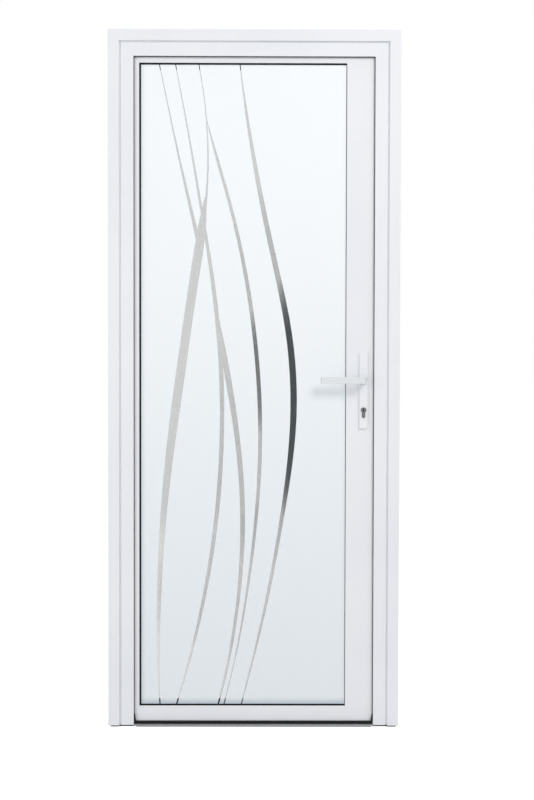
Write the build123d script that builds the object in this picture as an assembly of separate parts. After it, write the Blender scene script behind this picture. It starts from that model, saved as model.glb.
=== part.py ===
from build123d import *
import os

# Inward-opening aluminium front door in its frame, in millimetres.
# X runs to the right seen from outside, Y runs from outside to inside, Z is up.
# The origin is the middle of the threshold's underside.

# Frame sizes
frame_width = 900.0
frame_height = 2150.0
total_depth = 76.0
jamb_face = 78.5
head_face = 80.0
frame_body = 57.0
stop_thickness = 3.0
trim_width = 34.5
trim_thickness = 6.0
groove_width = 5.0
groove_depth = 3.0
edge_ease = 1.0
foot_pad_height = 3.5
foot_pad_inset = 8.0
foot_pad_setback = 1.5
stop_seal_width = 10.0
stop_seal_height = 2.0
stop_seal_reach = 2.0
frame_break_centre = 4.0
frame_break_depth = 16.0
break_setback = 1.5
fixing_hole_radius = 5.0
fixing_hole_place = 25.0
fixing_end_distance = 200.0
fixing_spacing = 560.0

# Threshold sizes
threshold_height = 7.5
nose_height = 5.5
nose_run = 6.0
nose_undercut_depth = 5.0
nose_undercut_height = 3.0
inner_edge_height = 6.0
inner_edge_run = 6.0
insert_width = 14.0
insert_thickness = 3.0
insert_recess = 0.5
insert_centre = -1.0
sill_seal_front = -31.5
sill_seal_back = -27.0
sill_seal_height = 6.5
corner_seal_height = 32.5
corner_seal_foot = 7.0
corner_seal_tip = 2.5

# Leaf sizes
leaf_thickness = 60.0
leaf_side_gap = 9.0
leaf_bottom_gap = 7.5
hinge_stile_face = 29.0
lock_stile_face = 99.0
top_rail_face = 32.5
bottom_rail_face = 46.5
flange_thickness = 2.5
sweep_width = 8.0
sweep_height = 9.0
sweep_drop = 2.5
sweep_place = 8.0
leaf_break_centre = 8.0
leaf_break_depth = 14.0
break_end_gap = 1.0

# Glazing sizes
glass_hold = 11.5
setting_gap = 4.0
frost_thickness = 0.4
pane_thickness = 6.0
pane_cavity = 20.0
outer_gasket_thickness = 2.1
outer_gasket_grip = 6.0
gasket_lip_hinge = 5.5
gasket_lip_lock = 1.5
gasket_lip_cross = 5.0
spacer_width = 14.0
spacer_setback = 3.0
inner_gasket_thickness = 3.0
inner_gasket_width = 11.0
inner_gasket_lip = 1.5
bead_width = 27.0
bead_slope = 5.0

# Clear stripes in the frosted sheet, each from its top to its foot,
# as places across, places up and widths, drawn for a sheet of the pattern's size
pattern_width = 663.0
pattern_height = 2013.0
pattern_left = -366.5
pattern_bottom = 50.0
stripe_left = (
    (-295, 2056, 2.5), (-262, 1900, 4), (-233, 1765, 6.5),
    (-202, 1630, 9.5), (-184, 1552, 12), (-171, 1495, 13),
)
stripe_second = (
    (-245, 2056, 2.5), (-203, 1833, 5), (-168, 1630, 8), (-135, 1427, 11.5), (-101, 1087, 14),
    (-100, 882, 13.5), (-113, 677, 13.5), (-141, 471, 12), (-184, 265, 8.5), (-242, 57, 4.5),
)
stripe_third = ((-173, 2056, 2.5), (-150, 1900, 3.5), (-143, 1765, 4.5), (-149, 1630, 7), (-155, 1570, 9))
stripe_wide = (
    (-152, 1640, 2), (-162, 1545, 25), (-169, 1495, 28.5), (-190, 1359, 28.5), (-229, 1087, 29),
    (-265, 814, 23.5), (-288, 540, 16.5), (-296, 264, 9.5), (-291, 57, 3.5),
)
stripe_fork = (
    (-146, 1875, 1), (-117, 1766, 8.5), (-78, 1630, 10.5), (-19, 1359, 12.5), (13, 1087, 13),
    (18, 814, 12), (-4, 540, 9.5), (-46, 265, 5), (-94, 57, 3.5),
)
stripe_low = (
    (-115, 1290, 1), (-93, 1155, 17), (-59, 951, 17), (-35, 677, 15.5),
    (-47, 402, 11), (-66, 265, 9), (-112, 57, 5),
)
stripe_right = (
    (-46, 2056, 2.5), (-25, 1901, 7.5), (-3, 1766, 12), (51, 1495, 16.5), (107, 1224, 19.5),
    (122, 951, 19.5), (92, 677, 13.5), (43, 402, 9.5), (-40, 57, 3),
)
stripes = (
    stripe_left, stripe_second, stripe_third, stripe_wide,
    stripe_fork, stripe_low, stripe_right,
)

# Lock and handle sizes
backset = 45.0
lever_height = 1076.0
lever_to_cylinder = 92.0
plate_width = 27.0
plate_height = 236.0
plate_thickness = 9.0
plate_centre_drop = 32.0
plate_corner = 4.0
plate_ease = 1.5
neck_radius = 9.0
neck_clearance = 0.3
neck_setback = 1.0
lever_projection = 56.0
lever_length = 135.0
lever_bar_height = 21.0
lever_bar_thickness = 11.0
lever_bend = 14.0
lever_tip_round = 8.0
lever_ease = 2.0
neck_hub_length = 6.0
spindle_side = 8.0
spindle_grip = 12.0
spindle_hole_radius = 8.0
cylinder_radius = 8.5
cylinder_leg = 10.0
cylinder_drop = 33.0
cylinder_stand = 3.0
cylinder_clearance = 0.5
cylinder_fit = 0.1
faceplate_width = 24.0
faceplate_height = 270.0
faceplate_thickness = 3.0
faceplate_centre_drop = 31.0
latch_height = 30.0
latch_width = 13.0
latch_length = 24.0
latch_stand = 2.0
latch_centre_rise = 6.0
bolt_height = 42.0
bolt_length = 24.0
bolt_centre_drop = 66.0
strike_width = 28.0
strike_height = 220.0
strike_thickness = 2.0
strike_opening_margin = 3.0

# Hinge sizes
hinge_height = 110.0
lowest_hinge_rise = 215.0
highest_hinge_drop = 196.5
hinge_axis_stand = 14.0
knuckle_radius = 8.0
knuckle_leaf_height = 46.0
knuckle_gap = 1.0
hinge_plate_width = 38.0
hinge_plate_thickness = 6.0
hinge_plate_gap = 1.0
hinge_web_gap = 1.0
hinge_pin_radius = 4.5
hinge_pin_clearance = 0.05
hinge_pin_cap = 2.0

# Levels and places that follow from the sizes
half_width = frame_width / 2
front_face = -total_depth / 2
frame_back = total_depth / 2
frame_front = front_face + trim_thickness
stop_back = frame_front + stop_thickness
lip_edge = half_width - jamb_face
rebate_wall = half_width - frame_body
leaf_edge = rebate_wall - leaf_side_gap
leaf_bottom = threshold_height + leaf_bottom_gap
leaf_top = frame_height - frame_body - leaf_side_gap
leaf_back = frame_back
leaf_front = leaf_back - leaf_thickness
flange_back = leaf_front + flange_thickness
frost_front = flange_back + outer_gasket_thickness
outer_pane_front = frost_front + frost_thickness
cavity_front = outer_pane_front + pane_thickness
cavity_back = cavity_front + pane_cavity
inner_pane_back = cavity_back + pane_thickness
bead_front = inner_pane_back + inner_gasket_thickness
handle_axis = leaf_edge - backset
plate_centre_height = lever_height - plate_centre_drop
faceplate_centre_height = lever_height - faceplate_centre_drop
latch_centre_height = lever_height + latch_centre_rise
bolt_centre_height = lever_height - bolt_centre_drop
cylinder_height = lever_height - lever_to_cylinder
leaf_middle = (leaf_front + leaf_back) / 2
frame_break_front = frame_break_centre - frame_break_depth / 2
frame_break_back = frame_break_centre + frame_break_depth / 2
leaf_break_front = leaf_break_centre - leaf_break_depth / 2
leaf_break_back = leaf_break_centre + leaf_break_depth / 2
hinge_axis_x = -(leaf_edge + rebate_wall) / 2
hinge_axis_y = frame_back + hinge_axis_stand
lowest_hinge = leaf_bottom + lowest_hinge_rise
highest_hinge = leaf_top - highest_hinge_drop
hinge_heights = (lowest_hinge, (lowest_hinge + highest_hinge) / 2, highest_hinge)
fixing_heights = (
    fixing_end_distance,
    fixing_end_distance + fixing_spacing,
    frame_height - fixing_end_distance - fixing_spacing,
    frame_height - fixing_end_distance,
)

# Edges of the glass opening, as left, bottom, right, top
sight_left = hinge_stile_face - leaf_edge
sight_right = leaf_edge - lock_stile_face
sight_bottom = leaf_bottom + bottom_rail_face
sight_top = leaf_top - top_rail_face

through_reach = 2 * total_depth


def block(x_range, y_range, z_range):
    """Solid between two places along each axis."""
    size = (x_range[1] - x_range[0], y_range[1] - y_range[0], z_range[1] - z_range[0])
    corner = Pos(x_range[0], y_range[0], z_range[0])
    return corner * Box(*size, align=(Align.MIN, Align.MIN, Align.MIN))


def mirrored(solid):
    """The same solid on the other side of the door's middle."""
    return mirror(solid, about=Plane.YZ)


def bar(outline, start, inward, length):
    """Extrude an outline of inward and depth places along one side of a frame."""
    inward_way = Vector(*inward)
    along = inward_way.cross(Vector(0, 1, 0))
    plane = Plane(origin=start, x_dir=inward_way, z_dir=along)
    return extrude(plane * make_face(Polyline(*outline, close=True)), amount=length)


def upright_bar(outline, side, bottom, top):
    """Bar whose outer edge is an upright line at the side place."""
    if side < 0:
        return bar(outline, (side, 0, bottom), (1, 0, 0), top - bottom)
    return bar(outline, (side, 0, top), (-1, 0, 0), top - bottom)


def cross_bar(outline, level, ends, downward):
    """Bar whose outer edge is a level line, with its profile hanging down or standing up."""
    if downward:
        return bar(outline, (ends[0], 0, level), (0, 0, -1), ends[1] - ends[0])
    return bar(outline, (ends[1], 0, level), (0, 0, 1), ends[1] - ends[0])


def corner_wedge(corner, inner_corner, for_upright):
    """Prism over the half of a mitred corner that the neighbouring bar fills."""
    overrun = 1.1
    x, z = corner
    far_x = x + (inner_corner[0] - x) * overrun
    far_z = z + (inner_corner[1] - z) * overrun
    third = (far_x, z) if for_upright else (x, far_z)
    outline = Polyline((x, z), (far_x, far_z), third, close=True)
    return extrude(Plane.XZ * make_face(outline), amount=through_reach, both=True)


def mitred(solid, corners, for_upright):
    """Cut both ends of a bar along the lines from outer to inner corners."""
    for corner, inner_corner in corners:
        solid = solid - corner_wedge(corner, inner_corner, for_upright)
    return solid


def ring(outer, inner, y_range):
    """Rectangular ring between an outer and an inner edge, as left, bottom, right, top."""
    whole = block((outer[0], outer[2]), y_range, (outer[1], outer[3]))
    hole = block((inner[0], inner[2]), y_range, (inner[1], inner[3]))
    return whole - hole


def sight_edges(hinge_side, bottom, lock_side, top):
    """Edges moved outwards from the glass opening by four distances."""
    return (
        sight_left - hinge_side,
        sight_bottom - bottom,
        sight_right + lock_side,
        sight_top + top,
    )


def frame_outer_outline(face):
    """Section of a frame profile's outside shell with its stop, from the outer edge inwards."""
    groove_end = trim_width + groove_width
    return [
        (0, frame_front),
        (trim_width, frame_front),
        (trim_width, frame_front + groove_depth),
        (groove_end, frame_front + groove_depth),
        (groove_end, frame_front),
        (face - edge_ease, frame_front),
        (face, frame_front + edge_ease),
        (face, stop_back),
        (frame_body, stop_back),
        (frame_body, frame_break_front),
        (0, frame_break_front),
    ]


def band(near, far, front, back):
    """Section of a plain rectangular bar, as inward and depth places."""
    return [(near, front), (far, front), (far, back), (near, back)]


def frame_inner_outline():
    """Section of a frame profile's inside shell."""
    return band(0, frame_body, frame_break_back, frame_back)


def frame_break_outline():
    """Section of the insulating core between the frame's two shells."""
    return band(break_setback, frame_body - break_setback, frame_break_front, frame_break_back)


def trim_outline():
    """Section of the clip-on cover trim."""
    return [
        (0, front_face),
        (trim_width - edge_ease, front_face),
        (trim_width, front_face + edge_ease),
        (trim_width, frame_front),
        (0, frame_front),
    ]


def leaf_body(face):
    """Width of a leaf profile behind the flange that covers the glass edge."""
    return face - glass_hold - setting_gap


def leaf_outer_outline(face):
    """Section of a leaf profile's outside shell with its flange."""
    return [
        (0, leaf_front),
        (face - edge_ease, leaf_front),
        (face, leaf_front + edge_ease),
        (face, flange_back),
        (leaf_body(face), flange_back),
        (leaf_body(face), leaf_break_front),
        (0, leaf_break_front),
    ]


def leaf_inner_outline(face):
    """Section of a leaf profile's inside shell."""
    return band(0, leaf_body(face), leaf_break_back, leaf_back)


def leaf_break_outline(face):
    """Section of the insulating core between the leaf's two shells."""
    return band(break_setback, leaf_body(face) - break_setback, leaf_break_front, leaf_break_back)


def fixing_holes():
    """Bores through the hinge jamb's inside shell for the fixings into the wall."""
    bores = []
    middle = half_width - frame_body / 2
    for height in fixing_heights:
        place = Pos(-middle, fixing_hole_place, height) * Rot(0, 90, 0)
        bores.append(place * Cylinder(fixing_hole_radius, frame_body + edge_ease))
    return bores


def strike_seat():
    """Shallow seat of the strike plate in the lock jamb."""
    half_strike = strike_width / 2
    half_height = strike_height / 2
    return block(
        (rebate_wall, rebate_wall + strike_thickness),
        (leaf_middle - half_strike, leaf_middle + half_strike),
        (plate_centre_height - half_height, plate_centre_height + half_height),
    )


def make_strike():
    """Strike plate with its openings for the latch and the bolt."""
    half_opening = latch_width / 2 + strike_opening_margin
    plate = strike_seat()
    for centre, height in ((latch_centre_height, latch_height), (bolt_centre_height, bolt_height)):
        half_height = height / 2 + strike_opening_margin
        plate = plate - block(
            (rebate_wall, rebate_wall + strike_thickness),
            (leaf_middle - half_opening, leaf_middle + half_opening),
            (centre - half_height, centre + half_height),
        )
    return plate


def make_frame():
    """Jambs, head, their insulating cores and their cover trims."""
    frame_corner = (-half_width, frame_height)
    inner_corner = (-lip_edge, frame_height - head_face)
    left_corner = (frame_corner, inner_corner)
    right_corner = ((half_width, frame_height), (lip_edge, frame_height - head_face))
    trim_inner = half_width - trim_width
    trim_left = (frame_corner, (-trim_inner, frame_height - trim_width))
    trim_right = ((half_width, frame_height), (trim_inner, frame_height - trim_width))

    def jamb_bar(outline, corner):
        """Hinge-side bar, mitred at its top."""
        raw = upright_bar(outline, -half_width, foot_pad_height, frame_height)
        return mitred(raw, [corner], True)

    def head_bar(outline, corners):
        """Top bar, mitred at both ends."""
        raw = cross_bar(outline, frame_height, (-half_width, half_width), True)
        return mitred(raw, corners, False)

    outer_shell = jamb_bar(frame_outer_outline(jamb_face), left_corner)
    inner_shell = jamb_bar(frame_inner_outline(), left_corner) - fixing_holes()
    head_corners = [left_corner, right_corner]
    head_outer = head_bar(frame_outer_outline(head_face), head_corners)
    head_inner = head_bar(frame_inner_outline(), head_corners)
    jamb_trim = jamb_bar(trim_outline(), trim_left)

    core_top = frame_height - frame_body - break_end_gap
    core = upright_bar(frame_break_outline(), -half_width, foot_pad_height, core_top)
    head_core_ends = (-half_width + break_setback, half_width - break_setback)
    head_core = cross_bar(frame_break_outline(), frame_height, head_core_ends, True)
    seat = strike_seat()
    lock_shells = [mirrored(outer_shell) - seat, mirrored(inner_shell) - seat]
    return {
        "hinge_jamb": Compound(children=[outer_shell, inner_shell]),
        "lock_jamb": Compound(children=lock_shells),
        "head": Compound(children=[head_outer, head_inner]),
        "frame_cores": Compound(children=[core, mirrored(core) - seat, head_core]),
        "hinge_jamb_trim": jamb_trim,
        "lock_jamb_trim": mirrored(jamb_trim),
        "head_trim": head_bar(trim_outline(), [trim_left, trim_right]),
        "strike_plate": make_strike(),
    }


def make_stop_seals():
    """Weather seals on the back of the stop, whose edges show beyond it at both sides and the head."""
    inner = lip_edge - stop_seal_reach
    outer = inner + stop_seal_width
    depth = (stop_back, stop_back + stop_seal_height)
    lower = frame_height - head_face - stop_seal_reach
    foot = threshold_height + corner_seal_height
    side = block((-outer, -inner), depth, (foot, lower + stop_seal_width))
    top = block((-inner, inner), depth, (lower, lower + stop_seal_width))
    return Compound(children=[side + mirrored(side) + top])


def make_threshold():
    """Low threshold with its insulating insert, seals and the pads under the jambs."""
    undercut = front_face + nose_undercut_depth
    outline = Polyline(
        (undercut, 0),
        (frame_back, 0),
        (frame_back, inner_edge_height),
        (frame_back - inner_edge_run, threshold_height),
        (front_face + nose_run, threshold_height),
        (front_face, nose_height),
        (front_face, nose_undercut_height),
        (undercut, nose_undercut_height),
        close=True,
    )
    section = Plane(origin=(-rebate_wall, 0, 0), x_dir=(0, 1, 0), z_dir=(1, 0, 0)) * make_face(outline)
    sill = extrude(section, amount=2 * rebate_wall)
    lip_room = block((lip_edge, rebate_wall), (front_face, stop_back), (0, threshold_height))
    slot_floor = threshold_height - insert_thickness
    slot_depth = (insert_centre - insert_width / 2, insert_centre + insert_width / 2)
    slot = block((-rebate_wall, rebate_wall), slot_depth, (slot_floor, threshold_height))
    insert_top = threshold_height - insert_recess
    insert = block((-rebate_wall, rebate_wall), slot_depth, (slot_floor, insert_top))
    sill = sill - lip_room - mirrored(lip_room) - slot

    seal_depth = (sill_seal_front, sill_seal_back)
    seal_top = threshold_height + sill_seal_height
    seal_reach = lip_edge - corner_seal_foot
    seal = block((-seal_reach, seal_reach), seal_depth, (threshold_height, seal_top))
    wedge_outline = Polyline(
        (lip_edge, threshold_height),
        (lip_edge - corner_seal_foot, threshold_height),
        (lip_edge - corner_seal_foot, seal_top),
        (lip_edge - corner_seal_tip, threshold_height + corner_seal_height),
        (lip_edge, threshold_height + corner_seal_height),
        close=True,
    )
    wedge_plane = Plane.XZ.offset(-sill_seal_back)
    wedge = extrude(wedge_plane * make_face(wedge_outline), amount=sill_seal_back - sill_seal_front)
    pad_front = front_face + foot_pad_setback
    pad_outline = [
        (foot_pad_inset, pad_front),
        (trim_width - edge_ease, pad_front),
        (trim_width - edge_ease, frame_front),
        (jamb_face, frame_front),
        (jamb_face, stop_back),
        (frame_body, stop_back),
        (frame_body, frame_back),
        (foot_pad_inset, frame_back),
    ]
    pad = upright_bar(pad_outline, -half_width, 0, foot_pad_height)
    return {
        "threshold": sill,
        "threshold_insert": insert,
        "threshold_seal": seal,
        "corner_seals": Compound(children=[wedge, mirrored(wedge)]),
        "foot_pads": Compound(children=[pad, mirrored(pad)]),
    }


def lock_cylinder_shape(growth, y_range):
    """Profile cylinder of round barrel and narrow leg, grown all round by a clearance."""
    plane = Plane.XZ.offset(-y_range[1])
    barrel = Pos(handle_axis, cylinder_height) * Circle(cylinder_radius + growth)
    leg_end = cylinder_height + cylinder_radius - cylinder_drop - growth
    half_leg = cylinder_leg / 2 + growth
    foot_centre = leg_end + half_leg
    leg = Pos(handle_axis, (cylinder_height + foot_centre) / 2) * Rectangle(
        2 * half_leg, cylinder_height - foot_centre
    )
    foot = Pos(handle_axis, foot_centre) * Circle(half_leg)
    return extrude(plane * (barrel + leg + foot), amount=y_range[1] - y_range[0])


def square_spindle(y_range):
    """Square bar along the lever axis."""
    half_side = spindle_side / 2
    return block(
        (handle_axis - half_side, handle_axis + half_side),
        y_range,
        (lever_height - half_side, lever_height + half_side),
    )


def round_along_depth(radius, y_range, height):
    """Round bar along Y on the handle axis at a height."""
    length = y_range[1] - y_range[0]
    middle = (y_range[0] + y_range[1]) / 2
    return Pos(handle_axis, middle, height) * Rot(90, 0, 0) * Cylinder(radius, length)


def bolt_block(centre, height, x_range):
    """Straight bolt of the lock."""
    half_width_of_bolt = latch_width / 2
    return block(
        x_range,
        (leaf_middle - half_width_of_bolt, leaf_middle + half_width_of_bolt),
        (centre - height / 2, centre + height / 2),
    )


def make_lock():
    """Faceplate, withdrawn latch, withdrawn bolt and profile cylinder."""
    half_face = faceplate_width / 2
    half_height = faceplate_height / 2
    plate = block(
        (leaf_edge - faceplate_thickness, leaf_edge),
        (leaf_middle - half_face, leaf_middle + half_face),
        (faceplate_centre_height - half_height, faceplate_centre_height + half_height),
    )
    latch_reach = (leaf_edge - latch_length, leaf_edge + latch_stand)
    latch = bolt_block(latch_centre_height, latch_height, latch_reach)
    latch_edges = latch.faces().sort_by(Axis.X)[-1].edges().filter_by(Axis.Z).sort_by(Axis.Y)
    latch = chamfer(latch_edges[-1], length=latch_stand, length2=latch_width / 2)
    bolt = bolt_block(bolt_centre_height, bolt_height, (leaf_edge - bolt_length, leaf_edge))
    overhang = plate_thickness + cylinder_stand
    reach = (leaf_front - overhang, leaf_back + overhang)
    return {
        "lock_faceplate": plate - latch - bolt,
        "latch_bolt": latch,
        "dead_bolt": bolt,
        "lock_cylinder": lock_cylinder_shape(0, reach),
    }


def make_leaf_profiles(lock):
    """Stiles, rails and their cores, mitred on the hinge side and square on the lock side."""
    lower_corner = ((-leaf_edge, leaf_bottom), (sight_left, sight_bottom))
    upper_corner = ((-leaf_edge, leaf_top), (sight_left, sight_top))
    shells = {}
    for name, outline_of in (("outer", leaf_outer_outline), ("inner", leaf_inner_outline)):
        hinge = upright_bar(outline_of(hinge_stile_face), -leaf_edge, leaf_bottom, leaf_top)
        lock_shell = upright_bar(outline_of(lock_stile_face), leaf_edge, leaf_bottom, leaf_top)
        rail_ends = (-leaf_edge, leaf_edge - leaf_body(lock_stile_face))
        top = cross_bar(outline_of(top_rail_face), leaf_top, rail_ends, True)
        bottom = cross_bar(outline_of(bottom_rail_face), leaf_bottom, rail_ends, False)
        shells[name] = {
            "hinge": mitred(hinge, [lower_corner, upper_corner], True),
            "lock": lock_shell,
            "top": mitred(top, [upper_corner], False) - lock_shell,
            "bottom": mitred(bottom, [lower_corner], False) - lock_shell,
        }

    low_core = leaf_bottom + leaf_body(bottom_rail_face) + break_end_gap
    high_core = leaf_top - leaf_body(top_rail_face) - break_end_gap
    hinge_core = upright_bar(leaf_break_outline(hinge_stile_face), -leaf_edge, low_core, high_core)
    lock_ends = (leaf_bottom + break_setback, leaf_top - break_setback)
    lock_core = upright_bar(leaf_break_outline(lock_stile_face), leaf_edge, *lock_ends)
    rail_start = break_setback - leaf_edge
    rail_end = leaf_edge - leaf_body(lock_stile_face)
    top_core = cross_bar(leaf_break_outline(top_rail_face), leaf_top, (rail_start, rail_end), True)
    bottom_outline = leaf_break_outline(bottom_rail_face)
    bottom_core = cross_bar(bottom_outline, leaf_bottom, (rail_start, rail_end), False)

    leaf_depth = (leaf_front, leaf_back)
    cuts = [
        round_along_depth(spindle_hole_radius, leaf_depth, lever_height),
        lock_cylinder_shape(cylinder_clearance, leaf_depth),
        lock["lock_faceplate"],
        lock["latch_bolt"],
        lock["dead_bolt"],
    ]
    sweep_depth = (sweep_place - sweep_width / 2, sweep_place + sweep_width / 2)
    sweep_reach = leaf_edge - leaf_body(lock_stile_face)
    sweep_levels = (leaf_bottom - sweep_drop, leaf_bottom + sweep_height)
    sweep = block((-sweep_reach, sweep_reach), sweep_depth, sweep_levels)
    outer = shells["outer"]
    inner = shells["inner"]
    return {
        "hinge_stile": Compound(children=[outer["hinge"], inner["hinge"]]),
        "lock_stile": Compound(children=[outer["lock"] - cuts, inner["lock"] - cuts]),
        "top_rail": Compound(children=[outer["top"], inner["top"]]),
        "bottom_rail": Compound(children=[outer["bottom"], inner["bottom"]]),
        "leaf_cores": Compound(children=[hinge_core, lock_core - cuts, top_core, bottom_core - sweep]),
        "bottom_sweep": sweep,
    }


def stripe_prism(points, across, upright):
    """Tapering curved stripe through the frosted sheet, stretched from the pattern's size."""
    stretch_x = (across[1] - across[0]) / pattern_width
    stretch_z = (upright[1] - upright[0]) / pattern_height
    sides = []
    for side in (-0.5, 0.5):
        line = []
        for x, z, width in points:
            place_x = across[0] + (x + side * width - pattern_left) * stretch_x
            line.append((place_x, upright[0] + (z - pattern_bottom) * stretch_z))
        sides.append(Spline(*line))
    left, right = sides
    outline = [left, Line(left @ 1, right @ 1), right, Line(right @ 0, left @ 0)]
    plane = Plane.XZ.offset(-outer_pane_front)
    return extrude(plane * make_face(outline), amount=frost_thickness)


def make_glazing():
    """Double glazing unit with its frosted sheet, gaskets and beads."""
    edges = sight_edges(glass_hold, glass_hold, glass_hold, glass_hold)
    across = (edges[0], edges[2])
    upright = (edges[1], edges[3])
    frosted = block(across, (frost_front, outer_pane_front), upright)
    for points in stripes:
        frosted = frosted - stripe_prism(points, across, upright)

    spacer_inner = sight_edges(*[glass_hold - spacer_setback - spacer_width] * 4)
    spacer_outer = sight_edges(*[glass_hold - spacer_setback] * 4)
    gasket_outer = sight_edges(*[outer_gasket_grip] * 4)
    gasket_inner = sight_edges(-gasket_lip_hinge, -gasket_lip_cross, -gasket_lip_lock, -gasket_lip_cross)

    seat = glass_hold + setting_gap
    bead_outer = sight_edges(seat, seat, seat, seat)
    bead_line = seat - bead_width
    lip_line = bead_line - inner_gasket_lip
    inner_gasket_outer = sight_edges(*[lip_line + inner_gasket_width] * 4)
    inner_gasket_inner = sight_edges(*[lip_line] * 4)

    bead_outline = [
        (0, bead_front),
        (bead_width, bead_front),
        (bead_width - bead_slope, leaf_back),
        (0, leaf_back),
    ]
    hinge_bead = upright_bar(bead_outline, bead_outer[0], bead_outer[1], bead_outer[3])
    lock_bead = upright_bar(bead_outline, bead_outer[2], bead_outer[1], bead_outer[3])
    side_beads = [hinge_bead, lock_bead]
    cross_beads = []
    for level, downward in ((bead_outer[3], True), (bead_outer[1], False)):
        cross_bead = cross_bar(bead_outline, level, (-leaf_edge, leaf_edge), downward)
        inside = block(
            (bead_outer[0] + bead_width, bead_outer[2] - bead_width),
            (bead_front, leaf_back),
            (bead_outer[1], bead_outer[3]),
        )
        cross_beads.append(cross_bead & inside)
    return {
        "frosted_layer": frosted,
        "outer_pane": block(across, (outer_pane_front, cavity_front), upright),
        "inner_pane": block(across, (cavity_back, inner_pane_back), upright),
        "spacer_frame": ring(spacer_outer, spacer_inner, (cavity_front, cavity_back)),
        "outer_gasket": ring(gasket_outer, gasket_inner, (flange_back, frost_front)),
        "inner_gasket": ring(inner_gasket_outer, inner_gasket_inner, (inner_pane_back, bead_front)),
        "side_beads": Compound(children=side_beads),
        "cross_beads": Compound(children=cross_beads),
    }


def handle_plate():
    """Long narrow outside plate of the handle set."""
    half_plate = plate_width / 2
    half_height = plate_height / 2
    plate_front = leaf_front - plate_thickness
    plate = block(
        (handle_axis - half_plate, handle_axis + half_plate),
        (plate_front, leaf_front),
        (plate_centre_height - half_height, plate_centre_height + half_height),
    )
    plate = fillet(plate.edges().filter_by(Axis.Y), radius=plate_corner)
    plate = chamfer(plate.faces().sort_by(Axis.Y)[0].edges(), length=plate_ease)
    depth = (plate_front, leaf_front)
    plate = plate - round_along_depth(neck_radius + neck_clearance, depth, lever_height)
    return plate - lock_cylinder_shape(cylinder_fit, depth)


def lever_plan():
    """Lever seen from above: a flat bar that bends back into its neck, with a rounded free end."""
    bar_front = leaf_front - lever_projection
    bar_back = bar_front + lever_bar_thickness
    half_neck = lever_bar_thickness / 2
    hub_front = leaf_front - plate_thickness - neck_hub_length
    tip = handle_axis - lever_length
    plan = make_face(Polyline(
        (tip, bar_front),
        (handle_axis + half_neck, bar_front),
        (handle_axis + half_neck, hub_front),
        (handle_axis - half_neck, hub_front),
        (handle_axis - half_neck, bar_back),
        (tip, bar_back),
        close=True,
    ))
    front = plan.vertices().group_by(Axis.Y)[0].sort_by(Axis.X)
    plan = fillet(front[-1], radius=lever_bend)
    front = plan.vertices().group_by(Axis.Y)[0].sort_by(Axis.X)
    plan = fillet(front[0], radius=lever_tip_round)
    corners = plan.vertices().filter_by_position(Axis.Y, bar_back - lever_ease, bar_back + lever_ease)
    return fillet(corners.sort_by(Axis.X)[-1], radius=lever_bend - lever_bar_thickness)


def handle_lever():
    """Outside lever with its round hub in the plate and a square socket for the spindle."""
    bottom = lever_height - lever_bar_height / 2
    lever = extrude(Pos(0, 0, bottom) * lever_plan(), amount=lever_bar_height)
    levels = lever.faces().filter_by(Axis.Z)
    lever = fillet(levels.sort_by(Axis.Z)[0].edges() + levels.sort_by(Axis.Z)[-1].edges(), radius=lever_ease)
    neck_end = leaf_front - neck_setback
    hub_front = leaf_front - plate_thickness - neck_hub_length
    hub = round_along_depth(neck_radius, (hub_front - lever_ease, neck_end), lever_height)
    return lever + hub - square_spindle((neck_end - spindle_grip, neck_end))


def across_leaf(solid):
    """The same solid on the other face of the leaf."""
    return mirror(solid, about=Plane.XZ.offset(-leaf_middle))


def make_handles():
    """Plates on the leaf, and the levers with their spindle."""
    plate = handle_plate()
    lever = handle_lever()
    reach = spindle_grip + neck_setback
    spindle = square_spindle((leaf_front - reach, leaf_back + reach))
    return {
        "outer_plate": plate,
        "inner_plate": across_leaf(plate),
        "outer_lever": lever,
        "inner_lever": across_leaf(lever),
        "spindle": spindle,
    }


def upright_round(radius, z_range):
    """Round bar on the hinge axis."""
    middle = (z_range[0] + z_range[1]) / 2
    return Pos(hinge_axis_x, hinge_axis_y, middle) * Cylinder(radius, z_range[1] - z_range[0])


def hinge_half(side, knuckle_ranges, plate_range, bore_radius):
    """Plate and knuckles of one hinge half, on the frame side or on the leaf side."""
    near = hinge_axis_x + side * (knuckle_radius + hinge_plate_gap)
    far = near + side * hinge_plate_width
    plate_depth = (frame_back, frame_back + hinge_plate_thickness)
    half = block((min(near, far), max(near, far)), plate_depth, plate_range)
    web_near = hinge_axis_x + side * hinge_web_gap
    web_across = (min(near, web_near), max(near, web_near))
    for z_range in knuckle_ranges:
        web = block(web_across, (frame_back, hinge_axis_y), z_range)
        half = half + web + upright_round(knuckle_radius, z_range)
    for z_range in knuckle_ranges:
        half = half - upright_round(bore_radius, z_range)
    return half


def make_hinges():
    """Three barrel hinges, each of a frame half, a leaf half and a pin."""
    frame_halves = []
    leaf_halves = []
    pins = []
    for height in hinge_heights:
        low = height - hinge_height / 2
        high = height + hinge_height / 2
        leaf_low = height - knuckle_leaf_height / 2
        leaf_high = height + knuckle_leaf_height / 2
        outer_knuckles = ((low, leaf_low - knuckle_gap), (leaf_high + knuckle_gap, high))
        frame_halves.append(hinge_half(-1, outer_knuckles, (low, high), hinge_pin_radius))
        loose_bore = hinge_pin_radius + hinge_pin_clearance
        leaf_halves.append(hinge_half(1, ((leaf_low, leaf_high),), (low, high), loose_bore))
        pins.append(upright_round(hinge_pin_radius, (low - hinge_pin_cap, high + hinge_pin_cap)))
    return {
        "hinge_frame_halves": Compound(children=frame_halves),
        "hinge_leaf_halves": Compound(children=leaf_halves),
        "hinge_pins": Compound(children=pins),
    }


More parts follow.
